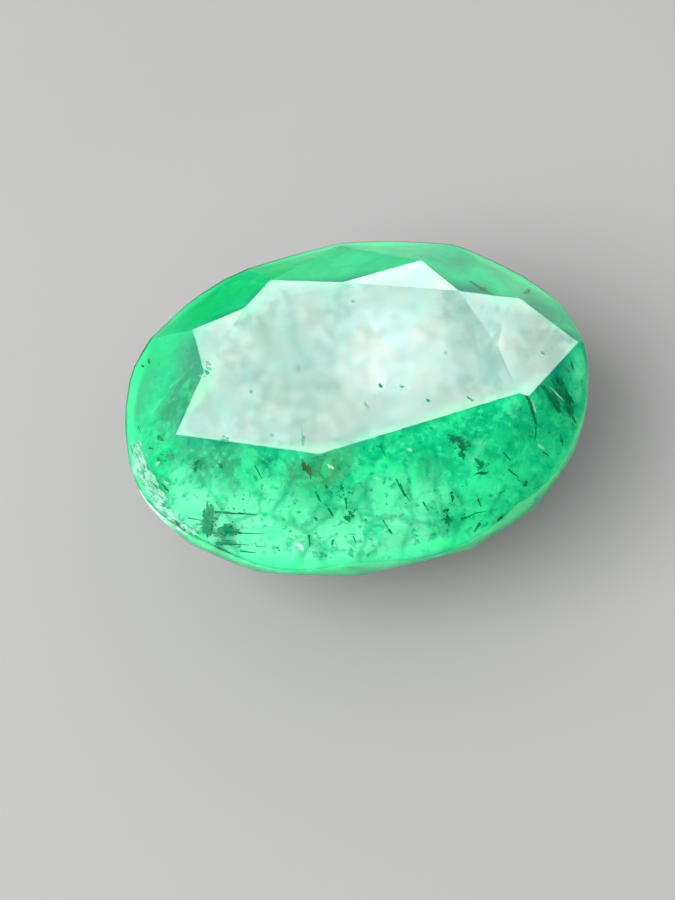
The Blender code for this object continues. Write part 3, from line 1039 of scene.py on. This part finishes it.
# Dark cards that keep glare off some facets: where each hangs and what it faces, both
# in millimetres, how far it reaches and how bright it is
Card = namedtuple("Card", "place target reach glow")
DARK_CARDS = [
    Card((37, -64, 97), (0, 0, 4), 260, 0.02),
    Card((-7.5, 17.5, 0.15), (-7.5, 17.5, 10), 8.5, 0.02),
    Card((-1, 25, 0.2), (-1, 25, 10), 8.5, 0.35),
    Card((-26.7, 19.3, 5), (0, 0, 4), 18, 0.30),
    Card((-38.4, -9.5, 20.9), (-3, -2, 4), 24, 0.15),
    Card((33, 0, 6), (3.5, -1.5, 4), 15, 0.02),
]

# The far panel: its size, its distance from the stone and its lift above the level in
# degrees, then its brighter spots as across, up, reach and gain
PANEL_WIDE = 0.30
PANEL_HIGH = 0.14
PANEL_AWAY = 0.10
PANEL_LIFT = 42.0
PANEL_SPOTS = [
    (-0.0070, 0.0245, 0.0080, 0.48),
    (-0.0145, 0.0240, 0.0070, -0.14),
    (-0.0115, 0.0195, 0.0060, -0.12),
    (-0.0930, -0.0125, 0.0060, 0.25),
    (-0.1040, -0.0180, 0.0070, -0.22),
    (-0.0290, -0.0590, 0.0220, 0.25),
    (0.0085, 0.0280, 0.0060, 0.10),
    (0.0460, -0.0340, 0.0160, 0.25),
]

# Its blushing spots as across, up and reach
WARM_SPOTS = [
    (0.0000, 0.0275, 0.0045),
    (-0.1010, -0.0150, 0.0060),
    (0.0085, 0.0205, 0.0025),
]


def point_at(made, place, target):
    """Put a light or a panel at a place, facing a target."""
    made.location = place
    made.rotation_euler = (Vector(target) - Vector(place)).to_track_quat("-Z", "Y").to_euler()


def show_in_gloss_only(made):
    """Keep a card or panel out of all but mirror-like reflections."""
    made.visible_camera = False
    made.visible_diffuse = False
    made.visible_transmission = False
    made.visible_volume_scatter = False
    made.visible_shadow = False


def add_softbox(name, place, target, wide, high, power):
    """A rectangular studio light."""
    data = bpy.data.lights.new(name, "AREA")
    data.shape = "RECTANGLE"
    data.size = wide
    data.size_y = high
    data.energy = power
    made = bpy.data.objects.new(name, data)
    bpy.context.scene.collection.objects.link(made)
    point_at(made, place, target)
    return made


class EMERALD_OT_stage(bpy.types.Operator):
    """Lay the pale floor, light it softly and set the camera as the photograph was taken"""

    bl_idname = "emerald.stage"
    bl_label = "Floor, Light and Camera"

    def execute(self, context):
        settings = context.scene.emerald_stage
        self.lay_floor(settings)
        self.light(settings)
        self.set_camera()
        context.scene.view_settings.view_transform = "Standard"
        return {"FINISHED"}

    def lay_floor(self, settings):
        """A plain pale floor, very faintly clouded."""
        material, tree, shader, coordinates = new_material("pale_floor")
        cloud = noise_of(tree, coordinates, 0.02, 2.0)
        share = remapped(tree, cloud, 0.3, 0.7)
        darker = [part * 0.97 for part in settings.floor]
        colour = mixed(tree, settings.floor, darker, share)
        tree.links.new(colour, shader.inputs["Base Color"])
        set_inputs(shader, Roughness=0.9, Specular_IOR_Level=0.1)
        work = bmesh.new()
        bmesh.ops.create_grid(work, x_segments=1, y_segments=1, size=0.8)
        floor = new_object("pale_floor", work, [material])

    def light(self, settings):
        """Even light all round, a soft key light, and what the facets mirror."""
        world = bpy.data.worlds.new("soft_room")
        world.use_nodes = True
        background = world.node_tree.nodes["Background"]
        set_inputs(background, Color=(1.0, 1.0, 1.0, 1.0), Strength=settings.fill)
        bpy.context.scene.world = world
        centre = Vector((0.0, 0.0, 4.0)) * MM
        key = add_softbox(
            "key_softbox", Vector((-0.07, -0.05, 0.11)), centre, 0.12, 0.12,
            settings.key_power,
        )
        key.visible_glossy = False
        self.hang_mirror_panel(settings, centre)
        for card in DARK_CARDS:
            self.hang_dark_card(card)

    def hang_dark_card(self, card):
        """A soft-edged dark card that only polished faces show."""
        material, tree, shader, coordinates = new_material("dark_card")
        tree.nodes.remove(shader)
        reach = card.reach * MM
        dark = patch_of(tree, coordinates, (0.0, 0.0, 0.0), reach, firm=0.6)
        clear = add_node(tree, "ShaderNodeBsdfTransparent")
        black = add_node(tree, "ShaderNodeEmission", Strength=card.glow)
        blend = add_node(tree, "ShaderNodeMixShader")
        tree.links.new(dark, blend.inputs[0])
        tree.links.new(clear.outputs[0], blend.inputs[1])
        tree.links.new(black.outputs[0], blend.inputs[2])
        tree.links.new(blend.outputs[0], tree.nodes["Material Output"].inputs["Surface"])
        work = bmesh.new()
        bmesh.ops.create_circle(work, cap_ends=True, segments=64, radius=reach)
        hung = new_object("dark_card", work, [material])
        point_at(hung, Vector(card.place) * MM, Vector(card.target) * MM)
        show_in_gloss_only(hung)

    def hang_mirror_panel(self, settings, centre):
        """The tall, cloudy white panel on the far side, which only polished faces show."""
        material, tree, shader, coordinates = new_material("lit_cloth")
        tree.nodes.remove(shader)
        cloud = noise_of(tree, coordinates, 0.16, 4.0, 0.5)
        weave = noise_of(tree, coordinates, 0.75, 5.0, 0.3)
        grit = noise_of(tree, coordinates, 2.2, 3.0)
        gritty = remapped(tree, grit, 0.3, 0.7, -0.13, 0.13)
        fine = remapped(tree, weave, 0.3, 0.7, -0.24, 0.24)
        broad = remapped(tree, cloud, 0.3, 0.7, 0.88, 1.12)
        strength = calculated(tree, "ADD", broad, fine)
        strength = calculated(tree, "ADD", strength, gritty)
        height = add_node(tree, "ShaderNodeSeparateXYZ")
        tree.links.new(coordinates, height.inputs[0])
        low_dim = remapped(tree, height.outputs["Y"], -0.05, 0.01, 0.66, 1.0)
        strength = product(tree, strength, low_dim)
        for across, up, reach, gain in PANEL_SPOTS:
            spot = patch_of(tree, coordinates, (across, up, 0.0), reach)
            strength = calculated(tree, "MULTIPLY_ADD", spot, gain, strength)
        power = product(tree, strength, settings.mirror_strength)
        emission = add_node(tree, "ShaderNodeEmission")
        tint = noise_of(tree, coordinates, 0.30, 4.0, 0.8)
        share = remapped(tree, tint, 0.38, 0.62)
        colour = mixed(tree, (1.0, 0.87, 0.91), (0.88, 0.94, 1.0), share)
        for across, up, reach in WARM_SPOTS:
            warm = patch_of(tree, coordinates, (across, up, 0.0), reach)
            blush = product(tree, warm, 0.75)
            colour = mixed(tree, colour, (1.0, 0.84, 0.88), blush)
        tree.links.new(colour, emission.inputs["Color"])
        tree.links.new(power, emission.inputs["Strength"])
        tree.links.new(emission.outputs[0], tree.nodes["Material Output"].inputs["Surface"])
        work = bmesh.new()
        bmesh.ops.create_grid(work, x_segments=1, y_segments=1, size=0.5)
        bmesh.ops.scale(work, verts=work.verts, vec=(PANEL_WIDE, PANEL_HIGH, 1.0))
        panel = new_object("mirror_panel", work, [material])
        lift = math.radians(PANEL_LIFT)
        turn = math.radians(VIEW_AZIMUTH)
        away = Vector((
            -math.sin(turn) * math.cos(lift),
            math.cos(turn) * math.cos(lift),
            math.sin(lift),
        ))
        point_at(panel, centre + away * PANEL_AWAY, centre)
        show_in_gloss_only(panel)

    def set_camera(self):
        """The camera, where the photograph was taken from."""
        data = bpy.data.cameras.new("photo_view")
        data.lens = LENS
        data.sensor_width = SENSOR
        data.clip_start = 0.001
        data.clip_end = 10.0
        camera = bpy.data.objects.new("photo_view", data)
        bpy.context.scene.collection.objects.link(camera)
        right, up, back = camera_axes()
        place = LOOK_AT + back * VIEW_DISTANCE
        camera.matrix_world = Matrix((
            (right.x, up.x, back.x, place.x),
            (right.y, up.y, back.y, place.y),
            (right.z, up.z, back.z, place.z),
            (0.0, 0.0, 0.0, 1.0),
        ))
        bpy.context.scene.camera = camera


class EMERALD_PT_maker(bpy.types.Panel):
    """Lists the stone's operators and their values"""

    bl_label = "Cut Oval Emerald"
    bl_space_type = "VIEW_3D"
    bl_region_type = "UI"
    bl_category = "Emerald"

    def draw(self, context):
        layout = self.layout
        scene = context.scene
        for group, names in (
            ("emerald_stage", ("emerald.stage",)),
            ("emerald_stone", ("emerald.cut_stone", "emerald.milky_core")),
            ("emerald_inclusions", ("emerald.needles", "emerald.flakes", "emerald.flecks")),
        ):
            box = layout.box()
            settings = getattr(scene, group)
            for name in settings.bl_rna.properties.keys():
                if name not in ("rna_type", "name"):
                    box.prop(settings, name)
            for name in names:
                box.operator(name)


CLASSES = (
    StoneSettings,
    InclusionSettings,
    StageSettings,
    EMERALD_OT_stage,
    EMERALD_OT_cut_stone,
    EMERALD_OT_milky_core,
    EMERALD_OT_needles,
    EMERALD_OT_flakes,
    EMERALD_OT_flecks,
    EMERALD_PT_maker,
)


def register():
    for kind in CLASSES:
        bpy.utils.register_class(kind)
    bpy.types.Scene.emerald_stone = PointerProperty(type=StoneSettings)
    bpy.types.Scene.emerald_inclusions = PointerProperty(type=InclusionSettings)
    bpy.types.Scene.emerald_stage = PointerProperty(type=StageSettings)


def unregister():
    del bpy.types.Scene.emerald_stage
    del bpy.types.Scene.emerald_inclusions
    del bpy.types.Scene.emerald_stone
    for kind in reversed(CLASSES):
        bpy.utils.unregister_class(kind)


def main():
    register()
    bpy.ops.emerald.stage()
    bpy.ops.emerald.cut_stone()
    bpy.ops.emerald.milky_core()
    bpy.ops.emerald.needles()
    bpy.ops.emerald.flakes()
    bpy.ops.emerald.flecks()


if __name__ == "__main__":
    main()
